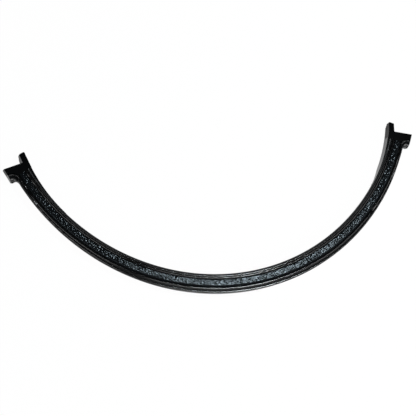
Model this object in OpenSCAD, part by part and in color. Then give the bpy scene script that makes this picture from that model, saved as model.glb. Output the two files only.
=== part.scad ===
// Arc-shaped moulded band: a reeded rail with a pebble-grained strip let into
// its front, and an end fitting with a tongue and a lug riveted on at each end.
//
// The band lies on its back, front up (+Z), with the middle of the arc towards
// -Y. Z = 0 is the rear plane, and X = 0, Y = 0 the middle of the outline.
// Angles are measured at the ring centre from -Y, positive towards +X.
// Millimetres and degrees.

/* [Band] */
// Inner radius of the band
inner_r = 134.8; // [115:0.1:170]
// Angle from the middle of the arc to each end of the rail
end_angle = 65.7; // [55:0.1:72]
// Thickness of the web between the channel and the hollow back
web_t = 1.8; // [1.4:0.1:3]
// Height of the hollow back behind the web
back_h = 3.6; // [3.2:0.1:6]
// Height of the bead crests above the channel floor
rail_h = 1.6; // [1.4:0.1:2.6]
// Radius on the rear edges of the rail
edge_r = 0.8; // [0.3:0.1:1]

/* [Front profile] */
// Width of the plain lip along the inner edge
lip_w = 0.95; // [0.5:0.05:1.5]
// Radius on the front edge of the lip
lip_r = 0.4; // [0.2:0.05:0.5]
// Depth of the lip and of the lines between beads, below the crests
line_depth = 0.7; // [0.4:0.05:0.9]
// Radius of the small inner bead
small_bead_r = 0.5; // [0.35:0.05:0.7]
// Depth of the small bead's crest below the large bead's
small_bead_drop = 0.2; // [0:0.05:0.3]
// Radius of the large inner bead, beside the channel
inner_bead_r = 0.7; // [0.5:0.05:0.9]
// Width of the channel that the grained strip lies in
channel_w = 5.3; // [4.6:0.1:7]
// Radius of the two outer beads
outer_bead_r = 0.8; // [0.6:0.05:1]
// Depth of the outermost bead's crest below its neighbour's
outer_bead_drop = 0.15; // [0:0.05:0.3]
// Width of the line between the two outer beads
bead_gap = 0.65; // [0.2:0.05:0.9]
// How much the outer edge would close in on the ring centre at 90 degrees
edge_taper = 4; // [1.2:0.1:4.6]
// The same for the outer wall of the channel
channel_taper = 1.2; // [0.4:0.1:1.6]

/* [Hollow back] */
// Distance from the inner edge to the hollow back
back_inset = 1.6; // [1:0.1:2.2]
// Clear width between the two walls of the hollow back
hollow_w = 4.6; // [4.4:0.1:5.2]
// Thickness of the two walls
wall_t = 1.2; // [0.9:0.1:1.4]
// Thickness of the cross ribs
rib_t = 1.1; // [0.8:0.1:2]
// Depth of the ribs' edges below the rear edges of the walls
rib_drop = 0.7; // [0.3:0.1:1.5]

/* [Grained strip] */
// Thickness of the strip at the edges of its raised part
strip_t = 1.1; // [0.9:0.05:1.25]
// Extra height of the crowned middle of the strip
strip_crown = 0.2; // [0.05:0.05:0.3]
// Width of the line left open on each side of the raised part
strip_line = 0.65; // [0.4:0.05:0.9]
// Thickness of the base that fills the channel from wall to wall
strip_base_t = 0.45; // [0.3:0.05:0.7]
// Clearance between the base and the walls of the channel
strip_clearance = 0.1; // [0.05:0.01:0.2]
// Diameter of the studs under the strip
stud_d = 1.6; // [1.2:0.1:2]
// How far the studs stand out behind the web
stud_reach = 1.5; // [1.2:0.1:2.4]

/* [End fittings] */
// How far the lug stands out beyond the outer edge in the middle of the band
lug_reach = 1.75; // [1.5:0.05:4]
// Thickness of the lug from front to rear
lug_h = 4.2; // [3.8:0.1:4.8]
// Radius of the rounded shoulder that carries the rail out onto the lug
shoulder_w = 5.8; // [5.4:0.1:6.4]
// Radius of the bead round the shoulder
shoulder_bead_r = 0.6; // [0.4:0.05:0.8]
// Distance of the shoulder's lower face from the end of the rail
shoulder_back = 2.5; // [2:0.1:3]
// Radius of the fillet between the lug and the outer edge
lug_fillet = 2.4; // [1.5:0.1:4]
// Radius of the lug's lower corner
lug_corner_r = 1.6; // [1:0.1:2]
// Thickness of the plate beyond the shoulder
plate_t = 4.2; // [3.5:0.1:6]
// Thickness of the plate at the root of the tongue
plate_root_t = 5.3; // [4.5:0.1:6]
// Length of the tongue beyond the plate
tongue_l = 5.8; // [4:0.1:9]
// Width of the tongue at its root
tongue_w = 4; // [3:0.1:4.5]
// Width of the tongue at its tip
tongue_tip_w = 3.8; // [2.6:0.1:4]
// Radius on the corners of the tip
tip_r = 0.7; // [0.3:0.1:1.2]
// Drop of the tongue's front face from root to tip
tongue_drop = 1.1; // [0.3:0.1:2]
// Length of the bevel on the rear of the tip
tip_bevel = 3; // [1:0.1:4]
// Radius of the tighter curve that leads the inner edge into the tongue
heel_r = 101; // [85:1:108]
// Angle before the end of the rail at which that curve starts
heel_angle = 15.3; // [12:0.1:16]
// Length of the tang that enters the hollow back
tang_l = 12; // [11:0.5:14]
// Thickness of the tang
tang_t = 2.1; // [1.6:0.1:2.4]

/* [Fasteners] */
// Diameter of the rivets' shanks
rivet_d = 2; // [1.5:0.1:2.2]
// Diameter of the rivets' heads, in the channel floor
rivet_head_d = 3.4; // [2.8:0.1:3.8]
// Thickness of the rivets' heads
rivet_head_t = 0.5; // [0.4:0.05:0.7]
// Thickness of the rivets' formed tails
rivet_tail_t = 0.7; // [0.5:0.05:0.8]
// Distance between the two rivets of an end fitting
rivet_pitch = 5.4; // [4.6:0.1:5.6]
// Distance of the first rivet from the end of the rail
rivet_inset = 3.4; // [3:0.1:3.8]
// Clearance of the holes round rivets and studs, on the radius
hole_clearance = 0.06; // [0.03:0.01:0.15]
// Outside diameter of the push nuts
nut_d = 4.1; // [3.6:0.1:4.2]
// Thickness of the push nuts' sheet
nut_t = 0.3; // [0.2:0.05:0.4]
// Width of the slots between the push nuts' teeth
nut_slot = 0.4; // [0.3:0.05:0.5]

/* [Hidden] */

$fn = 24;        // holes, fasteners and small rounds
ring_fn = 120;   // curves that follow the band
black = "#1c1c1e";
steel = "#b9bcc0";
join = 0.05;            // how far solids of one piece run into each other
shoulder_join = 0.3;    // how far the outer rail runs into the shoulder
overrun = 1;            // angle by which arcs run past the end before they are cut
seat = 0.05;    // gap between faces that would otherwise be curved and touching
rib_margin = 1.5;       // from the last rib to the tang
strip_margin = 0.35;    // from the strip's ends to the ends of the rail
shoulder_inset = 0.55;  // from the shoulder's centre to the end face of the lug
shoulder_line = 0.15;   // line between the shoulder's rounded part and its bead
shoulder_drop = 0.25;   // depth of the rounded part's crest below the bead's
shoulder_hub = 0.75;    // radius at which the rounded part starts
lug_corner_h = 1.2;     // thickness of the lug's lower corner

function degrees_of(length, radius) = length / radius * 180 / PI;

// Levels
floor_z = back_h + web_t;           // floor of the channel
top_z = floor_z + rail_h;           // crests of the beads
line_z = top_z - line_depth;        // lip and lines between the beads
plate_z = top_z - 0.1;              // front of the end fitting's plate
lug_z = top_z - lug_h;              // rear of the lug

// Radii in the middle of the arc, from the inner edge outwards
small_bead_x = inner_r + lip_w + small_bead_r;
inner_bead_x = small_bead_x + small_bead_r + inner_bead_r;
channel_in = inner_bead_x + inner_bead_r;
channel_out = channel_in + channel_w;
bead_c_x = channel_out + outer_bead_r;
bead_d_x = bead_c_x + 2 * outer_bead_r + bead_gap;
outer_r = bead_d_x + outer_bead_r;
lug_x = outer_r + lug_reach;
hollow_in = inner_r + back_inset + wall_t;
hollow_out = hollow_in + hollow_w;
hollow_mid = (hollow_in + hollow_out) / 2;
strip_mid = (channel_in + channel_out) / 2;
outer_seam = hollow_out + wall_t / 2;   // where the outer rail joins, inside a wall
far = 6 * outer_r;                  // well outside the part

// Outer edge and outer wall of the channel, where they meet the end of the rail
end_edge_x = outer_r - edge_taper * (1 - cos(end_angle));

// Studs sit half way between pairs of ribs, and the last rib clears the tang
studs_per_side = 4;
tang_angle = degrees_of(tang_l, hollow_mid);
last_rib = end_angle - tang_angle - degrees_of(rib_margin + rib_t / 2, hollow_mid);
stud_pitch = last_rib / (studs_per_side + 0.25);
stud_angles = [for (i = [-studs_per_side : studs_per_side]) i * stud_pitch];

// Rivets, from the end of the rail inwards
outboard_angle = end_angle - degrees_of(rivet_inset, hollow_mid);
inboard_angle = outboard_angle - degrees_of(rivet_pitch, hollow_mid);

// Plan of an end, in its own axes: X outwards along the end face of the rail
// from the ring centre, Y onwards past that face
heel_offset = inner_r - heel_r;
heel_c = heel_offset * [cos(heel_angle), -sin(heel_angle)];
heel_start = end_angle - heel_angle;
heel_full = 0.55 * inner_r * sin(heel_angle);       // where the heel has its full depth
heel_ramp = 12;                                     // length over which it grows
heel_step = 0.05;                                   // step where it starts on the lip
function heel_x(y) = heel_c.x + sqrt(heel_r ^ 2 - (y - heel_c.y) ^ 2);
shoulder_c = [lug_x - shoulder_inset, -shoulder_back];
root_y = plate_root_t;
root_x = heel_x(root_y) + tongue_w;
tip_y = root_y + tongue_l;
tip_in_x = heel_x(tip_y - tip_r);
tip_out_x = tip_in_x + tongue_tip_w;
lug_corner_y = shoulder_c.y + shoulder_w + plate_t;

// The outline reaches from the middle of the outer edge to the tips, and the
// ring centre is set so that the middle of the outline is at Y = 0
tip_reach = (tip_in_x + tip_r) * cos(end_angle) - (tip_y - tip_r) * sin(end_angle) - tip_r;
ring_y = (outer_r + tip_reach) / 2;

// ---- Placing ----

// From ring coordinates to the part's own
module placed() translate([0, ring_y, 0]) children();

// Moves a shape to an angle round the ring, its X axis pointing outwards
module at_angle(a) rotate([0, 0, a - 90]) children();

// Revolves a profile (X = radius, Y = height) from angle a0 to a1
module arc(a0, a1) at_angle(a0) rotate_extrude(angle = a1 - a0, $fn = ring_fn) children();

// Revolves a profile round a centre moved towards the middle of the arc, so
// that it keeps its radius there and closes in on the ring centre at the ends
module tapered_arc(taper)
    translate([0, -taper, 0]) arc(-85, 85) translate([-taper, 0]) children();

// The plane between two angles, and the space up to one on both sides
module sector_plan(a0, a1)
    polygon([[0, 0], far * [sin(a0), -cos(a0)], far * [sin(a1), -cos(a1)]]);

module sector(a, h) linear_extrude(h) sector_plan(-a, a);

module both_sides() {
    children();
    mirror([1, 0, 0]) children();
}

// ---- Profile helpers ----

module rect(x0, x1, z0, z1) translate([x0, z0]) square([x1 - x0, z1 - z0]);
module disc(x, z, r, fn = 16) translate([x, z]) circle(r, $fn = fn);

// ---- Rail ----

// Everything that runs round the ring centre: lip, inner beads, web and the
// walls of the hollow back
module inner_rail_profile() {
    disc(inner_r + edge_r, back_h + edge_r, edge_r);
    rect(inner_r, inner_r + 2 * edge_r, back_h + edge_r, line_z - lip_r);
    disc(inner_r + lip_r, line_z - lip_r, lip_r);
    rect(inner_r + lip_r, channel_in, back_h + edge_r, line_z);
    disc(small_bead_x, top_z - small_bead_drop - small_bead_r, small_bead_r);
    disc(inner_bead_x, top_z - inner_bead_r, inner_bead_r);
    rect(inner_r + edge_r, outer_seam, back_h, floor_z);
    rect(hollow_in - wall_t, hollow_in, 0, back_h + join);
    rect(hollow_out, hollow_out + wall_t, 0, back_h + join);
}

module channel_wall_profile() {
    rect(channel_out, bead_d_x - outer_bead_r + 2 * join, floor_z - join, line_z);
    disc(bead_c_x, top_z - outer_bead_r, outer_bead_r);
}

module outer_edge_profile() {
    bead_z = top_z - outer_bead_drop - outer_bead_r;
    disc(bead_d_x, bead_z, outer_bead_r);
    rect(bead_d_x - outer_bead_r, outer_r, back_h + edge_r, bead_z);
    rect(hollow_in, outer_r - edge_r, back_h, floor_z);
    rect(hollow_in, outer_r, back_h + edge_r, floor_z);
    disc(outer_r - edge_r, back_h + edge_r, edge_r);
}

// Outer beads, outer wall and edge, up to the shoulders
module outer_rail() {
    intersection() {
        arc(-end_angle - overrun, end_angle + overrun)
            rect(outer_seam - join, lug_x, back_h - 1, top_z + 1);
        tapered_arc(edge_taper) outer_edge_profile();
        before_shoulders();
    }
    intersection() {
        tapered_arc(channel_taper) channel_wall_profile();
        before_shoulders();
    }
}

module before_shoulders()
    translate([0, -(shoulder_back - shoulder_join) / sin(end_angle), -1])
        sector(end_angle, top_z + 2);

module ribs()
    for (a = stud_angles, side = [-1, 1])
        at_angle(a + side * stud_pitch / 4)
            translate([hollow_in - join, -rib_t / 2, rib_drop])
                cube([hollow_w + 2 * join, rib_t, back_h - rib_drop + join]);

// Deep wall along the inner edge near each end, which leads into the tongue
module heel()
    difference() {
        translate([0, 0, heel_step]) linear_extrude(line_z - 2 * heel_step) difference() {
            intersection() {
                sector_plan(heel_start, end_angle + overrun);
                circle(r = hollow_in - wall_t / 2, $fn = ring_fn);
            }
            at_angle(end_angle) disc(heel_c.x, heel_c.y, heel_r - heel_step, ring_fn);
        }
        // the wall grows from the web to its full depth
        at_angle(end_angle) translate([inner_r - 10, 0, 0]) rotate([90, 0, 90]) linear_extrude(20)
            polygon([
                [-inner_r, -1], [-inner_r, back_h + heel_step],
                [-heel_full - heel_ramp, back_h + heel_step], [-heel_full, -1]
            ]);
    }

// Rounded shoulder that carries the outer rail out onto the lug
module shoulder_profile() {
    bead_x = shoulder_w - shoulder_bead_r;
    bead_z = top_z - shoulder_bead_r;
    round_x = bead_x - shoulder_bead_r - shoulder_line;
    round_r = round_x - shoulder_hub;
    round_z = top_z - shoulder_drop - round_r;
    disc(bead_x, bead_z, shoulder_bead_r);
    rect(round_x, shoulder_w, lug_z, bead_z);
    intersection() {
        disc(round_x, round_z, round_r);
        rect(0, round_x + join, lug_z, top_z);
    }
    rect(round_x - round_r, round_x + join, lug_z, max(round_z, lug_z + join));
}

module lug_corner_plan() {
    x0 = shoulder_c.x - shoulder_w + shoulder_bead_r;
    y0 = shoulder_c.y;
    translate([x0, y0]) square([lug_x - lug_corner_r - x0, lug_corner_r]);
    translate([x0, y0 + lug_corner_r]) square([lug_x - x0, shoulder_bead_r]);
    disc(lug_x - lug_corner_r, y0 + lug_corner_r, lug_corner_r);
}

module lug_fillet_plan() {
    x0 = end_edge_x - outer_bead_r;
    y0 = shoulder_c.y;
    difference() {
        translate([x0, y0 - lug_fillet]) square([end_edge_x + lug_fillet - x0, lug_fillet + join]);
        disc(end_edge_x + lug_fillet, y0 - lug_fillet, lug_fillet, 32);
    }
}

module shoulder()
    at_angle(end_angle) {
        translate([shoulder_c.x, shoulder_c.y, 0])
            rotate([0, 0, 90]) rotate_extrude(angle = 90, $fn = 48) shoulder_profile();
        // straight run from the bend to the end face of the lug
        translate([shoulder_c.x, shoulder_c.y, 0]) rotate([90, 0, 90])
            linear_extrude(lug_x - shoulder_c.x) shoulder_profile();
        translate([0, 0, lug_z]) linear_extrude(lug_corner_h) lug_corner_plan();
        translate([0, 0, back_h + edge_r / 2])
            linear_extrude(floor_z - back_h) lug_fillet_plan();
    }

module web_hole(a, r)
    at_angle(a) translate([hollow_mid, 0, back_h - 1]) cylinder(h = web_t + 2, r = r);

module rivet_hole(a) {
    web_hole(a, rivet_d / 2 + hole_clearance);
    at_angle(a) translate([hollow_mid, 0, floor_z - rivet_head_t - seat])
        cylinder(h = web_t, r = rivet_head_d / 2 + hole_clearance);
}

module rail()
    color(black) placed() difference() {
        union() {
            intersection() {
                union() {
                    arc(-end_angle - overrun, end_angle + overrun) inner_rail_profile();
                    both_sides() heel();
                }
                translate([0, 0, -1]) sector(end_angle, top_z + 2);
            }
            outer_rail();
            ribs();
            both_sides() shoulder();
        }
        for (a = stud_angles) web_hole(a, stud_d / 2 + hole_clearance);
        both_sides() {
            rivet_hole(inboard_angle);
            rivet_hole(outboard_angle);
        }
    }

// ---- Grained strip ----

module strip_base_profile()
    rect(channel_in + strip_clearance, channel_out, floor_z, floor_z + strip_base_t);

module strip_raised_profile() {
    width = channel_w - 2 * strip_line;
    crown_r = width ^ 2 / (8 * strip_crown) + strip_crown / 2;
    intersection() {
        rect(channel_in + strip_line, channel_out, floor_z, floor_z + strip_t + strip_crown);
        disc(strip_mid, floor_z + strip_t + strip_crown - crown_r, crown_r, ring_fn);
    }
}

module grained_strip()
    color(black) placed() {
        strip_end = end_angle - degrees_of(strip_margin, strip_mid);
        // the base reaches both walls of the channel
        intersection() {
            arc(-strip_end, strip_end) strip_base_profile();
            tapered_arc(channel_taper)
                rect(hollow_mid - 8, channel_out - strip_clearance, floor_z, top_z);
        }
        // the raised part leaves a line open along each wall
        intersection() {
            arc(-strip_end, strip_end) strip_raised_profile();
            tapered_arc(channel_taper)
                rect(hollow_mid - 8, channel_out - strip_line, floor_z, top_z);
        }
        for (a = stud_angles)
            at_angle(a) translate([hollow_mid, 0, back_h - stud_reach])
                cylinder(h = stud_reach + web_t + strip_base_t / 2, r = stud_d / 2);
    }

// ---- End fittings ----

module fitting_plan()
    difference() {
        union() {
            polygon([
                [inner_r - 8, 0], [inner_r - 8, tip_y - tip_r],
                [tip_out_x, tip_y - tip_r],
                [root_x, root_y], [lug_x, lug_corner_y],
                [lug_x, shoulder_c.y + shoulder_w + seat],
                [shoulder_c.x, 0]
            ]);
            // rounded tip
            disc(tip_out_x - tip_r, tip_y - tip_r, tip_r);
            disc(tip_in_x + tip_r, tip_y - tip_r, tip_r);
            translate([tip_in_x + tip_r, tip_y - 2 * tip_r])
                square([tongue_tip_w - 2 * tip_r, 2 * tip_r]);
        }
        disc(heel_c.x, heel_c.y, heel_r, ring_fn);
        disc(shoulder_c.x, shoulder_c.y, shoulder_w + seat, 48);
        translate([shoulder_c.x, 0]) square([lug_x, shoulder_c.y + shoulder_w + seat]);
    }

module end_fitting()
    color(black) difference() {
        union() {
            at_angle(end_angle) linear_extrude(plate_z) fitting_plan();
            arc(end_angle - tang_angle, end_angle + degrees_of(join, hollow_mid))
                rect(hollow_in + strip_clearance, hollow_out - strip_clearance,
                     back_h - tang_t, back_h);
        }
        at_angle(end_angle) {
            // underside of the lug
            translate([hollow_out + wall_t, -1, -1]) cube([lug_x, 2 * lug_corner_y, lug_z + 1]);
            // front of the tongue slopes down to its tip
            translate([inner_r - 10, root_y, plate_z]) rotate([-atan(tongue_drop / tongue_l), 0, 0])
                cube([root_x - inner_r + 10 + join, 2 * tongue_l, top_z]);
            // bevel behind the tip
            translate([inner_r - 10, tip_y, tip_bevel]) rotate([45, 0, 0])
                translate([0, -far, -far]) cube([20, 2 * far, far]);
        }
        for (a = [inboard_angle, outboard_angle])
            at_angle(a) translate([hollow_mid, 0, -1])
                cylinder(h = back_h + 2, r = rivet_d / 2 + hole_clearance);
    }

module left_end_fitting() placed() mirror([1, 0, 0]) end_fitting();
module right_end_fitting() placed() end_fitting();

// ---- Fasteners ----

module rivet(a)
    color(steel) at_angle(a) translate([hollow_mid, 0, 0]) {
        head_z = floor_z - seat - rivet_head_t;
        tail_z = back_h - tang_t - rivet_tail_t;
        translate([0, 0, head_z]) cylinder(h = rivet_head_t, r = rivet_head_d / 2);
        translate([0, 0, tail_z]) cylinder(h = head_z - tail_z + join, r = rivet_d / 2);
        translate([0, 0, tail_z])
            cylinder(h = rivet_tail_t, r1 = rivet_d / 2 + 0.1, r2 = rivet_head_d / 2 - 0.1);
    }

module push_nut(a) {
    hole_r = stud_d / 2 + 0.02;
    bend_r = hole_r + 0.45;
    color(steel) placed() at_angle(a) translate([hollow_mid, 0, back_h]) difference() {
        rotate_extrude() polygon([
            [bend_r, 0], [nut_d / 2, 0], [nut_d / 2, -nut_t], [bend_r, -nut_t],
            [hole_r, -2 * nut_t], [hole_r, -1.2 * nut_t]
        ]);
        for (turn = [0, 60, 120])
            rotate([0, 0, turn]) translate([-bend_r - 0.2, -nut_slot / 2, -3 * nut_t])
                cube([2 * bend_r + 0.4, nut_slot, 4 * nut_t]);
    }
}

// ---- The part ----

rail();
grained_strip();
left_end_fitting();
right_end_fitting();
placed() mirror([1, 0, 0]) rivet(inboard_angle);  // left_inboard_rivet
placed() mirror([1, 0, 0]) rivet(outboard_angle);  // left_outboard_rivet
placed() rivet(inboard_angle);  // right_inboard_rivet
placed() rivet(outboard_angle);  // right_outboard_rivet
for (i = [0 : len(stud_angles) - 1])
    push_nut(stud_angles[i]);
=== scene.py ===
"""Dresses the arc-shaped trim band: finishes for the solids, the raised pebble
grain of the strip, end fittings with softened edges, and a plain stage."""

import math

import bmesh
import bpy
from bpy.props import FloatProperty, FloatVectorProperty, PointerProperty
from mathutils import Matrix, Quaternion, Vector


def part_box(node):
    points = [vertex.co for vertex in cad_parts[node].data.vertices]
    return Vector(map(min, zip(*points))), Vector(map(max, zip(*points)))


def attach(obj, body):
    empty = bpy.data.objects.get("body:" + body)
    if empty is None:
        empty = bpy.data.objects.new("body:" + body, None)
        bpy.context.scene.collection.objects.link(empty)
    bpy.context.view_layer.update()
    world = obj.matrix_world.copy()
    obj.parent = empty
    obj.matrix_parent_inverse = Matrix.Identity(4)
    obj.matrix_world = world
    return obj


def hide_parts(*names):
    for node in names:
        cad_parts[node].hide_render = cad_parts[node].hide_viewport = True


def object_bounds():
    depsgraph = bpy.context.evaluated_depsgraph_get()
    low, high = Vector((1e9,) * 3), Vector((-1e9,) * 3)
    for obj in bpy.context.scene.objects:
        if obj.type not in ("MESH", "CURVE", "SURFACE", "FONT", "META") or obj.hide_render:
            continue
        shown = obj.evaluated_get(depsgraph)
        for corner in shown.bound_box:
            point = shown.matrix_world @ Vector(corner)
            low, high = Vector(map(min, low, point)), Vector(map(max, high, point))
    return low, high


bl_info = {
    "name": "Arc Trim Band",
    "version": (1, 0, 0),
    "blender": (4, 5, 0),
    "location": "View3D > Sidebar > Trim Band",
    "description": "Dresses a curved trim band with a pebble-grained strip",
    "category": "Add Mesh",
}

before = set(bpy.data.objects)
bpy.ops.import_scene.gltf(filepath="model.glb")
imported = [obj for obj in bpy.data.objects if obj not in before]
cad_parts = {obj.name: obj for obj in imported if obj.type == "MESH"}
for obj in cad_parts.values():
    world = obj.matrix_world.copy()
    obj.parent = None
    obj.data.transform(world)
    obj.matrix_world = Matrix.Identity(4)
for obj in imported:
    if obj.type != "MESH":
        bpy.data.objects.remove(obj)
CAD_LOW, CAD_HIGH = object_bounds()
BODY = "root"
MM = 0.001
TOUCH = 0.01 * MM   # places closer than this are taken as the same
MERGE = 0.001 * MM   # vertices closer than this are merged
WHITE = (1.0, 1.0, 1.0)


# ---- Places read from the frame ----

def middle_of(node):
    low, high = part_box(node)
    return (low + high) / 2


def ring_through(left, right, bottom):
    """Centre and radius of the circle through three points, two of them mirrored in X."""
    half_chord = (right.x - left.x) / 2
    rise = (left.y + right.y) / 2 - bottom.y
    radius = (half_chord ** 2 + rise ** 2) / (2 * rise)
    return Vector((0.0, bottom.y + radius, 0.0)), radius


# The push nuts sit on one circle round the ring centre
RING, NUT_CIRCLE = ring_through(
    left=middle_of("push_nut_1"), right=middle_of("push_nut_9"), bottom=middle_of("push_nut_5"))
INNER_WALL = NUT_CIRCLE - 5.1 * MM
OUTER_WALL = NUT_CIRCLE + 7.4 * MM   # in the middle of the arc, where the rail is widest


# ---- Sizes and colours ----

class TrimBandStripSettings(bpy.types.PropertyGroup):
    """Sizes of the grained strip"""

    grain_pitch: FloatProperty(
        name="Grain pitch", description="Mean distance between pebbles", default=1.3 * MM, unit="LENGTH")
    grain_height: FloatProperty(
        name="Grain height", description="Height of the pebbles above the lines between them",
        default=0.26 * MM, unit="LENGTH")
    fullness: FloatProperty(
        name="Fullness", description="How steeply the pebbles rise to their rounded tops", default=1.5)
    width: FloatProperty(
        name="Width", description="Width of the grained bar in the middle of the arc",
        default=3.96 * MM, unit="LENGTH")
    offset: FloatProperty(
        name="Offset", description="Distance from the circle of push nuts to the middle of the grained bar",
        default=0.52 * MM, unit="LENGTH")
    taper: FloatProperty(
        name="Taper", description="How much the outer wall of the channel closes in at a quarter turn",
        default=1.2 * MM, unit="LENGTH")
    lift: FloatProperty(
        name="Lift", description="Height of the grained bar's crest above the solid strip",
        default=0.02 * MM, unit="LENGTH")
    depth: FloatProperty(
        name="Depth", description="Thickness of the grained bar, which stands in the solid strip",
        default=1.05 * MM, unit="LENGTH")
    crown: FloatProperty(
        name="Crown", description="Extra height of the middle of the grained bar",
        default=0.03 * MM, unit="LENGTH")
    corner_radius: FloatProperty(
        name="Corner radius", description="Rounding along both edges of the grained bar",
        default=0.2 * MM, unit="LENGTH")
    mesh_step: FloatProperty(
        name="Mesh step", description="Spacing across the bar of the vertices that carry the grain",
        default=0.16 * MM, unit="LENGTH")
    sweep_step: FloatProperty(
        name="Sweep step", description="Spacing along the bar of the vertices that carry the grain",
        default=0.184 * MM, unit="LENGTH")


class TrimBandFinishSettings(bpy.types.PropertyGroup):
    """Colours and gloss of the finishes"""

    black: FloatVectorProperty(
        name="Moulded black", description="Colour of the rail and the end fittings",
        default=(0.0022, 0.0022, 0.0024), subtype="COLOR")
    grain_black: FloatVectorProperty(
        name="Grained black", description="Colour of the pebble-grained strip",
        default=(0.003, 0.0035, 0.004), subtype="COLOR")
    rivet_grey: FloatVectorProperty(
        name="Rivet metal", description="Colour of the aluminium rivets",
        default=(0.62, 0.63, 0.65), subtype="COLOR")
    nut_grey: FloatVectorProperty(
        name="Push nut steel", description="Colour of the spring steel",
        default=(0.42, 0.43, 0.45), subtype="COLOR")
    rail_roughness: FloatProperty(
        name="Rail roughness", description="Mean roughness of the beads and the walls",
        default=0.14, min=0.0, max=1.0, subtype="FACTOR")
    line_matte: FloatProperty(
        name="Matte lines",
        description="Extra roughness in the lines between the beads and beside the pebbles",
        default=0.75, min=0.0, max=1.0, subtype="FACTOR")
    fitting_roughness: FloatProperty(
        name="Fitting roughness", description="Mean roughness of the end fittings",
        default=0.19, min=0.0, max=1.0, subtype="FACTOR")
    fitting_shine: FloatProperty(
        name="Fitting shine", description="Strength of the end fittings' reflections, 0.5 for plain plastic",
        default=0.06, min=0.0, max=1.0, subtype="FACTOR")
    grain_roughness: FloatProperty(
        name="Grain roughness", description="Mean roughness of the pebbles",
        default=0.15, min=0.0, max=1.0, subtype="FACTOR")
    grain_shine: FloatProperty(
        name="Grain shine", description="Strength of the pebbles' reflections, 0.5 for plain plastic",
        default=0.14, min=0.0, max=1.0, subtype="FACTOR")
    grain_tint: FloatVectorProperty(
        name="Grain tint", description="Colour of the pebbles' reflections",
        default=(0.8, 0.92, 1.0), subtype="COLOR")
    rivet_roughness: FloatProperty(
        name="Rivet roughness", description="Mean roughness of the rivets",
        default=0.375, min=0.0, max=1.0, subtype="FACTOR")
    nut_roughness: FloatProperty(
        name="Push nut roughness", description="Mean roughness of the push nuts",
        default=0.295, min=0.0, max=1.0, subtype="FACTOR")
    edge_rounding: FloatProperty(
        name="Edge rounding", description="Width of the rounding on the end fittings' edges",
        default=0.28 * MM, unit="LENGTH")


class TrimBandStageSettings(bpy.types.PropertyGroup):
    """Floor, lights and camera"""

    floor_white: FloatVectorProperty(
        name="Floor", description="Colour of the floor", default=(0.9, 0.9, 0.9), subtype="COLOR")
    floor_radius: FloatProperty(
        name="Floor radius", description="Radius of the floor", default=6.0, unit="LENGTH")
    floor_gap: FloatProperty(
        name="Floor gap", description="Distance from the band's back down to the floor",
        default=0.02 * MM, unit="LENGTH")
    floor_glow: FloatProperty(
        name="Floor glow", description="Share of the floor that looks plain white to the camera",
        default=0.98, min=0.0, max=1.0, subtype="FACTOR")
    floor_shine: FloatProperty(
        name="Floor shine", description="Share of the floor that reflections show as plain white",
        default=0.9, min=0.0, max=1.0, subtype="FACTOR")
    key_power: FloatProperty(
        name="Key lamp", description="Power of the main soft lamp", default=2.6, unit="POWER")
    key_colour: FloatVectorProperty(
        name="Key colour", description="Colour of the main lamp", default=(0.9, 0.97, 1.0), subtype="COLOR")
    key_size: FloatVectorProperty(
        name="Key size", description="Width and length of the main lamp",
        default=(0.12, 0.05), size=2, unit="LENGTH")
    key_place: FloatVectorProperty(
        name="Key place", description="Place of the main lamp, from the middle of the band's front",
        default=(0.206, 0.059, 0.558), subtype="TRANSLATION")
    key_aim: FloatVectorProperty(
        name="Key aim", description="Point that the main lamp faces", default=(0.0, -0.04, 0.0),
        subtype="TRANSLATION")
    window_power: FloatProperty(
        name="Windows", description="Power of each of the three low lamps", default=5.8, unit="POWER")
    window_size: FloatVectorProperty(
        name="Window size", description="Width and height of a low lamp",
        default=(0.9, 0.55), size=2, unit="LENGTH")
    left_window: FloatVectorProperty(
        name="Left window", description="Place of a low lamp, from the middle of the band's front",
        default=(-0.86, -0.79, 0.6), subtype="TRANSLATION")
    front_window: FloatVectorProperty(
        name="Front window", description="Place of a low lamp, from the middle of the band's front",
        default=(0.19, -0.97, 0.56), subtype="TRANSLATION")
    right_window: FloatVectorProperty(
        name="Right window", description="Place of a low lamp, from the middle of the band's front",
        default=(1.045, -0.49, 0.56), subtype="TRANSLATION")
    world_level: FloatProperty(
        name="Room light", description="Level of the even light from the room", default=0.01, min=0.0)
    camera_azimuth: FloatProperty(
        name="Azimuth", description="Direction of the camera round the band",
        default=math.radians(-56.845), subtype="ANGLE")
    camera_elevation: FloatProperty(
        name="Elevation", description="Height of the camera above the floor, as an angle",
        default=math.radians(68.035), subtype="ANGLE")
    camera_roll: FloatProperty(
        name="Roll", description="Turn of the camera about its own axis",
        default=math.radians(49.327), subtype="ANGLE")
    camera_distance: FloatProperty(
        name="Distance", description="Distance from the camera to the point it looks at",
        default=1.0183, unit="LENGTH")
    camera_lens: FloatProperty(
        name="Lens", description="Focal length of the camera", default=138.46, unit="CAMERA")
    aim_offset: FloatVectorProperty(
        name="Aim", description="Point the camera looks at, from the ring centre at the front's height",
        default=(-0.01204, -0.0913, 0.0), subtype="TRANSLATION")


# ---- Shader maths ----

class Wire:
    """A socket's value in a shader, with the arithmetic that the finishes use."""

    def __init__(self, shader, socket):
        self.shader = shader
        self.socket = socket

    def _math(self, operation, first, second):
        return self.shader.node("ShaderNodeMath", {"operation": operation}, {0: first, 1: second})

    def __add__(self, other):
        return self._math("ADD", self, other)

    def __radd__(self, other):
        return self._math("ADD", other, self)

    def __mul__(self, other):
        return self._math("MULTIPLY", self, other)

    def __rmul__(self, other):
        return self._math("MULTIPLY", other, self)


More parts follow.
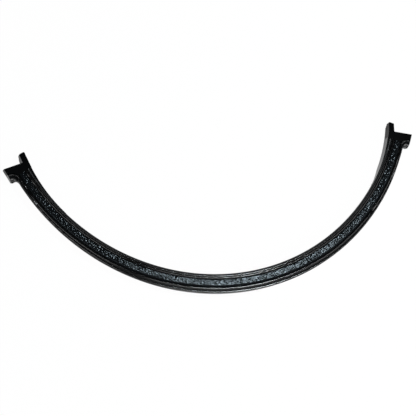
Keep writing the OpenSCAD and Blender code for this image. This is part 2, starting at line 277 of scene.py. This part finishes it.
class Shader:
    """Adds nodes to one node tree."""

    def __init__(self, tree):
        self.tree = tree

    def find(self, kind):
        return next(node for node in self.tree.nodes if node.type == kind)

    def node(self, kind, settings=None, inputs=None, output=0):
        made = self.tree.nodes.new(kind)
        for key, value in (settings or {}).items():
            setattr(made, key, value)
        for key, value in (inputs or {}).items():
            self.feed(made.inputs[key], value)
        return Wire(self, made.outputs[output])

    def feed(self, socket, value):
        if isinstance(value, Wire):
            self.tree.links.new(value.socket, socket)
        elif socket.type == "RGBA":
            socket.default_value = (*value, 1.0)
        else:
            socket.default_value = value

    def ray(self, kind):
        """1 where the surface is met by that kind of ray."""
        return self.node("ShaderNodeLightPath", output=kind)


class Finish(Shader):
    """A procedural finish on a Principled surface."""

    def __init__(self, name):
        self.material = bpy.data.materials.new(name)
        self.material.use_nodes = True
        super().__init__(self.material.node_tree)
        self.surface = self.find("BSDF_PRINCIPLED")
        self.place = self.node("ShaderNodeTexCoord", output="Object")

    def noise(self, size, detail=3.0):
        return self.node(
            "ShaderNodeTexNoise", {}, {"Vector": self.place, "Scale": 1.0 / size, "Detail": detail}, "Fac")

    def along(self, axis):
        return self.node("ShaderNodeSeparateXYZ", {}, {"Vector": self.place}, axis)

    def distance(self, point):
        return self.node(
            "ShaderNodeVectorMath", {"operation": "DISTANCE"}, {0: self.place, 1: point}, "Value")

    def ramp(self, level, start, end):
        """0 up to the start, rising smoothly to 1 at the end."""
        return self.node(
            "ShaderNodeMapRange", {"interpolation_type": "SMOOTHSTEP"},
            {"Value": level, "From Min": start, "From Max": end})

    def shades(self, pattern, colour, dark, light):
        """The colour, made darker and lighter by a pattern. Dark and light are shares of it."""
        # the Mix node's sockets share their names, so they are found by number
        factor, first, second, result = 0, 6, 7, 2
        return self.node(
            "ShaderNodeMix", {"data_type": "RGBA"},
            {factor: pattern, first: [dark * c for c in colour], second: [light * c for c in colour]},
            result)

    def bump(self, height, distance, strength):
        return self.node(
            "ShaderNodeBump", {}, {"Height": height, "Distance": distance, "Strength": strength}, "Normal")

    def set(self, **values):
        for key, value in values.items():
            self.feed(self.surface.inputs[key.replace("_", " ")], value)
        return self.material


def varied(mean, *parts):
    """A level that varies round its mean, by pairs of a pattern and the range it adds."""
    level = mean - sum(spread for pattern, spread in parts) / 2
    for pattern, spread in parts:
        level = pattern * spread + level
    return level


# ---- Finishes ----

def between_beads(finish):
    """1 in the lines between the beads, less beside the shoulders, and 0 on the crests and the walls."""
    # each pair is where the lines start to show and where they are full
    depth_start, depth_full = 0.4 * MM, 0.6 * MM
    wall_start, wall_full = 0.1 * MM, 0.3 * MM
    end_start, end_full = 18 * MM, 21 * MM
    share_at_ends = 0.2
    radius = finish.distance(RING + Vector((0, 0, CAD_HIGH.z)))
    below_crests = finish.ramp(finish.along("Z"), CAD_HIGH.z - depth_start, CAD_HIGH.z - depth_full)
    off_inner_wall = finish.ramp(radius, INNER_WALL + wall_start, INNER_WALL + wall_full)
    off_outer_wall = finish.ramp(radius, OUTER_WALL - wall_start, OUTER_WALL - wall_full)
    off_ends = finish.ramp(finish.along("Y"), CAD_HIGH.y - end_start, CAD_HIGH.y - end_full)
    return (
        below_crests * off_inner_wall * off_outer_wall
        * (off_ends * (1 - share_at_ends) + share_at_ends))


def moulded_plastic(name, black, roughness, shine=0.5, line_matte=0.0):
    """Smooth black plastic. line_matte is the extra roughness between the beads."""
    finish = Finish(name)
    cloud = finish.noise(14 * MM, detail=4.0)
    fine = finish.noise(0.35 * MM, detail=2.0)
    level = varied(roughness, (cloud, 0.1), (fine, 0.06))
    if line_matte:
        level = between_beads(finish) * line_matte + level
    return finish.set(
        Base_Color=finish.shades(cloud, black, dark=0.8, light=1.3),
        Roughness=level,
        Normal=finish.bump(fine, distance=0.02 * MM, strength=0.6),
        IOR=1.5,
        Specular_IOR_Level=shine)


def grained_plastic(settings):
    """Black plastic with a low sheen on the pebbles, matte on the plain parts beside them."""
    # depths below the beads at which the plain parts start to show and are full
    plain_start, plain_full = 0.36 * MM, 0.46 * MM
    finish = Finish("Grained plastic")
    fine = finish.noise(0.22 * MM)
    cloud = finish.noise(6 * MM)
    level = varied(settings.grain_roughness, (fine, 0.1), (cloud, 0.06))
    plain = finish.ramp(finish.along("Z"), CAD_HIGH.z - plain_start, CAD_HIGH.z - plain_full)
    return finish.set(
        Base_Color=finish.shades(cloud, settings.grain_black, dark=0.75, light=1.4),
        Roughness=plain * settings.line_matte + level,
        Normal=finish.bump(fine, distance=0.026 * MM, strength=0.5),
        IOR=1.5,
        Specular_IOR_Level=settings.grain_shine,
        Specular_Tint=settings.grain_tint)


def plain_metal(name, colour, roughness):
    """Bare metal with faint tool marks."""
    finish = Finish(name)
    cloud = finish.noise(0.8 * MM, detail=4.0)
    fine = finish.noise(0.08 * MM)
    return finish.set(
        Base_Color=finish.shades(cloud, colour, dark=0.8, light=1.0),
        Metallic=1.0,
        Roughness=varied(roughness, (cloud, 0.15)),
        Normal=finish.bump(fine, distance=0.01 * MM, strength=0.5))


# ---- Modelling helpers ----

def deselect():
    if bpy.context.object and bpy.context.object.mode != "OBJECT":
        bpy.ops.object.mode_set(mode="OBJECT")
    bpy.ops.object.select_all(action="DESELECT")


def work_on(piece):
    deselect()
    piece.select_set(True)
    bpy.context.view_layer.objects.active = piece


def select_vertices(piece, wanted):
    """Selects the vertices for which wanted(place) is true. The piece is in edit mode."""
    mesh = bmesh.from_edit_mesh(piece.data)
    bpy.ops.mesh.select_mode(type="VERT")
    for vertex in mesh.verts:
        vertex.select_set(bool(wanted(vertex.co)))
    mesh.select_flush_mode()
    bmesh.update_edit_mesh(piece.data)


def settle(piece, name):
    """Names a finished piece and puts its place into its mesh."""
    work_on(piece)
    bpy.ops.object.transform_apply(location=True, rotation=True, scale=True)
    piece.name = name
    piece.data.name = name
    return piece


def finish_with(piece, material):
    piece.data.materials.clear()
    piece.data.materials.append(material)


def apply_all(piece):
    work_on(piece)
    for modifier in list(piece.modifiers):
        bpy.ops.object.modifier_apply(modifier=modifier.name)


# ---- Operators ----

class TRIMBAND_OT_rail(bpy.types.Operator):
    """Gives the moulded rail its semi-gloss black finish"""

    bl_idname = "trimband.rail"
    bl_label = "Finish Rail"

    def execute(self, context):
        finish = context.scene.trimband_finish
        material = moulded_plastic(
            "Rail plastic", finish.black, finish.rail_roughness, line_matte=finish.line_matte)
        finish_with(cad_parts["rail"], material)
        return {"FINISHED"}


class TRIMBAND_OT_grained_strip(bpy.types.Operator):
    """Lays the raised pebble grain over the strip"""

    bl_idname = "trimband.grained_strip"
    bl_label = "Grain Strip"

    def execute(self, context):
        strip = context.scene.trimband_strip
        finish = context.scene.trimband_finish
        material = grained_plastic(finish)
        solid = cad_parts["grained_strip"]
        finish_with(solid, material)
        piece = self.blank(strip)
        self.grain(piece, strip)
        settle(piece, "pebble_grain")
        finish_with(piece, material)
        bpy.ops.object.shade_smooth()
        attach(piece, BODY)
        return {"FINISHED"}

    def blank(self, strip):
        """The grained part as a plain bar, swept round the ring and closed at both ends."""
        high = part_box("grained_strip")[1]
        top = high.z + strip.lift
        middle = NUT_CIRCLE + strip.offset
        half_turn = math.asin(high.x / (middle + strip.width / 2))
        piece = self.outline(strip, top)
        self.round_top(piece, strip, top)
        self.sweep(piece, middle, half_turn, strip.sweep_step)
        self.close_ends(piece, half_turn)
        select_vertices(piece, lambda v: v.z > top - strip.depth / 2)
        bpy.ops.object.vertex_group_assign_new()
        bpy.ops.object.mode_set(mode="OBJECT")
        piece.vertex_groups[0].name = "top"
        self.follow_channel(piece, middle - strip.width / 2, strip.width, strip.taper)
        return piece

    def outline(self, strip, top):
        """An upright rectangle without a face. Only its top line is divided."""
        deselect()
        bpy.ops.mesh.primitive_grid_add(
            x_subdivisions=self.columns(strip), y_subdivisions=1, size=1.0,
            location=(0, 0, 0), rotation=(math.pi / 2, 0, 0))
        piece = bpy.context.object
        piece.scale = (strip.width, strip.depth, 1)
        piece.location = (0, 0, top - strip.depth / 2)
        bpy.ops.object.transform_apply(location=True, rotation=True, scale=True)
        bpy.ops.object.mode_set(mode="EDIT")
        bpy.ops.mesh.select_mode(type="EDGE")
        bpy.ops.mesh.select_all(action="SELECT")
        bpy.ops.mesh.region_to_loop()
        bpy.ops.mesh.select_all(action="INVERT")
        bpy.ops.mesh.delete(type="EDGE")
        corner = strip.width / 2 - TOUCH
        select_vertices(piece, lambda v: v.z < top - strip.depth / 2 and abs(v.x) < corner)
        bpy.ops.mesh.dissolve_verts()
        return piece

    def columns(self, strip):
        return round(strip.width / strip.mesh_step)

    def round_top(self, piece, strip, top):
        """Crowns the top line and rounds its two corners."""
        columns = self.columns(strip)
        for column in range(columns + 1):
            x = (column / columns - 0.5) * strip.width
            inset = max(0.0, strip.corner_radius - (strip.width / 2 - abs(x)))
            rounding = strip.corner_radius - math.sqrt(strip.corner_radius ** 2 - inset ** 2)
            drop = strip.crown * (2 * x / strip.width) ** 2 + rounding
            select_vertices(piece, lambda v: abs(v.x - x) < TOUCH and v.z > top - strip.depth / 2)
            bpy.ops.transform.translate(value=(0, 0, -drop))

    def sweep(self, piece, middle, half_turn, step):
        """Stands the outline at the left end of the ring and sweeps it to the right end."""
        bpy.ops.mesh.select_all(action="SELECT")
        bpy.ops.transform.translate(value=(middle, 0, 0))
        bpy.ops.object.mode_set(mode="OBJECT")
        piece.rotation_euler = (0, 0, -math.pi / 2 - half_turn)
        bpy.ops.object.transform_apply(location=True, rotation=True, scale=True)
        turn = piece.modifiers.new("Sweep", "SCREW")
        turn.angle = 2 * half_turn
        turn.steps = turn.render_steps = round(2 * half_turn * middle / step)
        apply_all(piece)
        piece.location = RING
        bpy.ops.object.transform_apply(location=True, rotation=True, scale=True)

    def close_ends(self, piece, half_turn):
        """Fills both ends of the bar and leaves it in edit mode, facing outwards."""
        bpy.ops.object.mode_set(mode="EDIT")
        for side in (-1, 1):
            across = Vector((side * math.cos(half_turn), math.sin(half_turn), 0))
            select_vertices(piece, lambda v: abs(across.dot(v - RING)) < TOUCH and side * v.x > 0)
            bpy.ops.mesh.edge_face_add()
        bpy.ops.mesh.select_all(action="SELECT")
        bpy.ops.mesh.normals_make_consistent(inside=False)

    def follow_channel(self, piece, inner, width, taper):
        """Narrows the bar towards its ends, as the channel's outer wall closes in."""
        for vertex in piece.data.vertices:
            away = vertex.co - RING
            radius = math.hypot(away.x, away.y)
            narrowing = taper * (1 + away.y / radius)
            share = (radius - inner) / width
            scale = (radius - share * narrowing) / radius
            vertex.co.x = RING.x + away.x * scale
            vertex.co.y = RING.y + away.y * scale

    def grain(self, piece, strip):
        """Raises rounded pebbles of random outline, on low waves that are wider than the pebbles."""
        pebbles = bpy.data.textures.new("Pebbles", "VORONOI")
        pebbles.noise_scale = strip.grain_pitch
        # the height grows with the distance from the line between two pebbles
        pebbles.weight_1 = -1.0
        pebbles.weight_2 = 1.0
        pebbles.noise_intensity = strip.fullness
        wave_pitch = 1.6 * strip.grain_pitch
        wave_height = strip.grain_height / 3
        waves = bpy.data.textures.new("Waves", "CLOUDS")
        waves.noise_scale = wave_pitch
        for texture, height, level in ((pebbles, strip.grain_height, 0.0), (waves, wave_height, 0.5)):
            bend = piece.modifiers.new(texture.name, "DISPLACE")
            bend.texture = texture
            bend.texture_coords = "LOCAL"
            bend.direction = "Z"
            bend.strength = height
            bend.mid_level = level
            bend.vertex_group = "top"
        apply_all(piece)


class TRIMBAND_OT_end_fittings(bpy.types.Operator):
    """Remakes both end fittings with softened edges"""

    bl_idname = "trimband.end_fittings"
    bl_label = "Soften End Fittings"

    def execute(self, context):
        finish = context.scene.trimband_finish
        material = moulded_plastic(
            "Fitting plastic", finish.black, finish.fitting_roughness, shine=finish.fitting_shine)
        for side in ("left", "right"):
            node = side + "_end_fitting"
            piece = self.softened(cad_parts[node], finish.edge_rounding)
            settle(piece, side + "_fitting")
            finish_with(piece, material)
            finish_with(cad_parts[node], material)
            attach(piece, BODY)
            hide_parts(node)
        return {"FINISHED"}

    def softened(self, solid, rounding):
        """A copy of the solid, with its flat faces made whole and its edges rounded."""
        one_face, sharp_edge, crease = math.radians(0.5), math.radians(25), math.radians(35)
        work_on(solid)
        bpy.ops.object.duplicate()
        piece = bpy.context.object
        piece.parent = None
        # the copy carries none of the solid's notes
        for key in list(piece.keys()):
            del piece[key]
        bpy.ops.object.mode_set(mode="EDIT")
        bpy.ops.mesh.select_all(action="SELECT")
        bpy.ops.mesh.remove_doubles(threshold=MERGE)
        bpy.ops.mesh.customdata_custom_splitnormals_clear()
        bpy.ops.mesh.dissolve_limited(angle_limit=one_face)
        bpy.ops.object.mode_set(mode="OBJECT")
        edges = piece.modifiers.new("Rounding", "BEVEL")
        edges.width = rounding
        edges.segments = 3
        edges.limit_method = "ANGLE"
        edges.angle_limit = sharp_edge
        apply_all(piece)
        bpy.ops.object.shade_smooth_by_angle(angle=crease)
        flats = piece.modifiers.new("Flat faces stay flat", "WEIGHTED_NORMAL")
        flats.weight = 100
        flats.keep_sharp = True
        apply_all(piece)
        return piece


class TRIMBAND_OT_fasteners(bpy.types.Operator):
    """Gives the rivets and push nuts their bare metal"""

    bl_idname = "trimband.fasteners"
    bl_label = "Finish Fasteners"

    def execute(self, context):
        finish = context.scene.trimband_finish
        rivet = plain_metal("Rivet aluminium", finish.rivet_grey, finish.rivet_roughness)
        nut = plain_metal("Push nut steel", finish.nut_grey, finish.nut_roughness)
        for name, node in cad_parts.items():
            if name.endswith("rivet"):
                finish_with(node, rivet)
            elif name.startswith("push_nut"):
                finish_with(node, nut)
        return {"FINISHED"}


class TRIMBAND_OT_stage(bpy.types.Operator):
    """Sets the floor, the soft lamps and the camera"""

    bl_idname = "trimband.stage"
    bl_label = "Set Stage"

    def execute(self, context):
        stage = context.scene.trimband_stage
        context.scene.view_settings.view_transform = "Standard"
        self.floor(stage)
        self.room(context.scene, stage)
        front = Vector((0, 0, CAD_HIGH.z))
        self.soft_lamp(
            "Key", front + Vector(stage.key_place), front + Vector(stage.key_aim),
            stage.key_size, stage.key_power, stage.key_colour)
        for side in ("left", "front", "right"):
            place = front + Vector(getattr(stage, side + "_window"))
            self.soft_lamp(side.title() + " window", place, front, stage.window_size, stage.window_power)
        self.camera(context.scene, stage, RING + front + Vector(stage.aim_offset))
        return {"FINISHED"}

    def floor(self, stage):
        """A wide pale floor, which keeps a light shadow of the band."""
        deselect()
        bpy.ops.mesh.primitive_circle_add(
            vertices=64, radius=stage.floor_radius, fill_type="NGON",
            location=(0, 0, CAD_LOW.z - stage.floor_gap))
        piece = settle(bpy.context.object, "floor")
        finish = Finish("Floor")
        finish.set(Base_Color=stage.floor_white, Roughness=0.8)
        reflected = finish.ray("Is Glossy Ray") + finish.ray("Is Transmission Ray")
        surface = finish.node("ShaderNodeMixShader", {}, {
            0: finish.ray("Is Camera Ray") * stage.floor_glow + reflected * stage.floor_shine,
            1: Wire(finish, finish.surface.outputs[0]),
            2: finish.node("ShaderNodeEmission", {}, {"Color": WHITE, "Strength": 1.0})})
        finish.feed(finish.find("OUTPUT_MATERIAL").inputs["Surface"], surface)
        finish_with(piece, finish.material)

    def room(self, scene, stage):
        """Even light from the room, which looks white to the camera."""
        scene.world = bpy.data.worlds.new("Room")
        scene.world.use_nodes = True
        shader = Shader(scene.world.node_tree)
        background = shader.find("BACKGROUND")
        level = shader.node(
            "ShaderNodeMath", {"operation": "MAXIMUM"},
            {0: shader.ray("Is Camera Ray"), 1: stage.world_level})
        shader.feed(background.inputs["Color"], WHITE)
        shader.feed(background.inputs["Strength"], level)

    def soft_lamp(self, name, place, aim, size, power, colour=WHITE):
        deselect()
        bpy.ops.object.light_add(type="AREA", location=place)
        lamp = bpy.context.object
        lamp.name = name
        lamp.rotation_euler = (aim - place).to_track_quat("-Z", "Y").to_euler()
        lamp.data.shape = "RECTANGLE"
        lamp.data.size, lamp.data.size_y = size
        lamp.data.energy = power
        lamp.data.color = colour

    def camera(self, scene, stage, target):
        azimuth, elevation = stage.camera_azimuth, stage.camera_elevation
        back = Vector((
            math.sin(azimuth) * math.cos(elevation),
            -math.cos(azimuth) * math.cos(elevation),
            math.sin(elevation)))
        deselect()
        bpy.ops.object.camera_add(location=target + back * stage.camera_distance)
        camera = bpy.context.object
        camera.rotation_mode = "QUATERNION"
        roll = Quaternion((0, 0, 1), stage.camera_roll)
        camera.rotation_quaternion = (-back).to_track_quat("-Z", "Y") @ roll
        camera.data.lens = stage.camera_lens
        scene.camera = camera


class TRIMBAND_PT_sidebar(bpy.types.Panel):
    """Lists the band's pieces and its stage"""

    bl_label = "Trim Band"
    bl_idname = "TRIMBAND_PT_sidebar"
    bl_space_type = "VIEW_3D"
    bl_region_type = "UI"
    bl_category = "Trim Band"

    def draw(self, context):
        for settings in SETTINGS:
            group = getattr(context.scene, settings)
            box = self.layout.box()
            for name in group.__annotations__:
                box.prop(group, name)
        for operator in OPERATORS:
            self.layout.operator(operator.bl_idname)


SETTINGS = {
    "trimband_strip": TrimBandStripSettings,
    "trimband_finish": TrimBandFinishSettings,
    "trimband_stage": TrimBandStageSettings,
}
OPERATORS = (
    TRIMBAND_OT_rail,
    TRIMBAND_OT_grained_strip,
    TRIMBAND_OT_end_fittings,
    TRIMBAND_OT_fasteners,
    TRIMBAND_OT_stage,
)


def register():
    for cls in (*SETTINGS.values(), *OPERATORS, TRIMBAND_PT_sidebar):
        bpy.utils.register_class(cls)
    for name, cls in SETTINGS.items():
        setattr(bpy.types.Scene, name, PointerProperty(type=cls))


def unregister():
    for name in SETTINGS:
        delattr(bpy.types.Scene, name)
    for cls in reversed((*SETTINGS.values(), *OPERATORS, TRIMBAND_PT_sidebar)):
        bpy.utils.unregister_class(cls)


def main():
    register()
    bpy.ops.trimband.rail()
    bpy.ops.trimband.grained_strip()
    bpy.ops.trimband.end_fittings()
    bpy.ops.trimband.fasteners()
    bpy.ops.trimband.stage()


if __name__ == "__main__":
    main()
